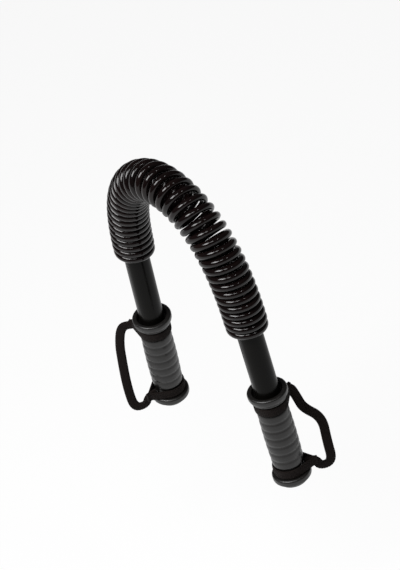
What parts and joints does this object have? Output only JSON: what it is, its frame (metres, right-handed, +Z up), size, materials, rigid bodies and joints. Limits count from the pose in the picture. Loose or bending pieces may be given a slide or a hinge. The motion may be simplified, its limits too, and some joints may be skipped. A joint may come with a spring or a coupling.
{
  "type": "spring bar chest expander",
  "caption": "Hand-held steel spring bar with two tube handles, ribbed rubber grips, guard collars and wrist straps, held bent into an upside-down U.",
  "frame": {"origin": "middle of the right-hand grip, on its axis, where the hand holds it", "axes": "+Z up towards the top of the bend, +X from the left handle to the right one, +Y square to the plane of the bend, away from the front"},
  "size_m": [0.2701, 0.1006, 0.3799],
  "materials": {
    "spring_enamel": "black gloss enamel on spring steel",
    "tube_paint": "black semi-gloss paint on steel tube",
    "bare_steel": "turned bare steel",
    "grip_rubber": "matte moulded black rubber",
    "cap_plastic": "moulded black plastic",
    "strap_webbing": "ribbed tubular webbing, dark brown-black"
  },
  "bodies": {
    "right_handle": {"right_handle_tube": "tube_paint", "right_spring_seat": "bare_steel", "right_seat_pin": "bare_steel", "right_guard_collar": "grip_rubber", "right_hand_grip": "grip_rubber", "right_end_cap": "cap_plastic", "spring_right_end": "spring_enamel"},
    "spring_1": {"spring_length_1": "spring_enamel"},
    "spring_2": {"spring_length_2": "spring_enamel"},
    "spring_3": {"spring_length_3": "spring_enamel"},
    "spring_4": {"spring_length_4": "spring_enamel"},
    "spring_5": {"spring_length_5": "spring_enamel"},
    "spring_6": {"spring_length_6": "spring_enamel"},
    "spring_7": {"spring_length_7": "spring_enamel"},
    "left_handle": {"left_handle_tube": "tube_paint", "left_spring_seat": "bare_steel", "left_seat_pin": "bare_steel", "left_guard_collar": "grip_rubber", "left_hand_grip": "grip_rubber", "left_end_cap": "cap_plastic", "spring_left_end": "spring_enamel"},
    "right_strap": {"right_wrist_strap": "strap_webbing"},
    "left_strap": {"left_wrist_strap": "strap_webbing"}
  },
  "joints": [
    {"name": "spring_bend_1", "type": "hinge", "parent": "right_handle", "child": "spring_1", "pos_m": [-0.02911, 0, 0.17762], "axis": [0, 1, 0], "range_deg": [0, 10.95], "deforming": ["spring_right_end", "spring_length_1"]},
    {"name": "spring_bend_2", "type": "hinge", "parent": "spring_1", "child": "spring_2", "pos_m": [-0.04044, 0, 0.22498], "axis": [0, 1, 0], "range_deg": [0, 19.93], "deforming": ["spring_length_2"]},
    {"name": "spring_bend_3", "type": "hinge", "parent": "spring_2", "child": "spring_3", "pos_m": [-0.06258, 0, 0.25889], "axis": [0, 1, 0], "range_deg": [0, 27.77], "deforming": ["spring_length_3"]},
    {"name": "spring_bend_4", "type": "hinge", "parent": "spring_3", "child": "spring_4", "pos_m": [-0.09105, 0, 0.27433], "axis": [0, 1, 0], "range_deg": [0, 27.87], "deforming": ["spring_length_4"]},
    {"name": "spring_bend_5", "type": "hinge", "parent": "spring_4", "child": "spring_5", "pos_m": [-0.11546, 0, 0.27433], "axis": [0, 1, 0], "range_deg": [0, 27.87], "deforming": ["spring_length_5"]},
    {"name": "spring_bend_6", "type": "hinge", "parent": "spring_5", "child": "spring_6", "pos_m": [-0.14393, 0, 0.25889], "axis": [0, 1, 0], "range_deg": [0, 27.77], "deforming": ["spring_length_6"]},
    {"name": "spring_bend_7", "type": "hinge", "parent": "spring_6", "child": "spring_7", "pos_m": [-0.16608, 0, 0.22498], "axis": [0, 1, 0], "range_deg": [0, 19.93], "deforming": ["spring_length_7"]},
    {"name": "spring_bend_8", "type": "hinge", "parent": "spring_7", "child": "left_handle", "pos_m": [-0.1774, 0, 0.17762], "axis": [0, 1, 0], "range_deg": [0, 10.96], "deforming": ["spring_left_end"]},
    {"name": "right_strap_swivel", "type": "hinge", "parent": "right_handle", "child": "right_strap", "pos_m": [0, 0, 0], "axis": [-0.061, 0, 0.9981], "continuous": true},
    {"name": "left_strap_swivel", "type": "hinge", "parent": "left_handle", "child": "left_strap", "pos_m": [-0.20651, 0, 0], "axis": [0.061, 0, 0.9981], "continuous": true}
  ],
  "couplings": [
    {"joint": "spring_bend_2", "follows": "spring_bend_1", "ratio": 1.8196},
    {"joint": "spring_bend_3", "follows": "spring_bend_1", "ratio": 2.5351},
    {"joint": "spring_bend_4", "follows": "spring_bend_1", "ratio": 2.5443},
    {"joint": "spring_bend_5", "follows": "spring_bend_1", "ratio": 2.5443},
    {"joint": "spring_bend_6", "follows": "spring_bend_1", "ratio": 2.5351},
    {"joint": "spring_bend_7", "follows": "spring_bend_1", "ratio": 1.8196},
    {"joint": "spring_bend_8", "follows": "spring_bend_1", "ratio": 1}
  ]
}
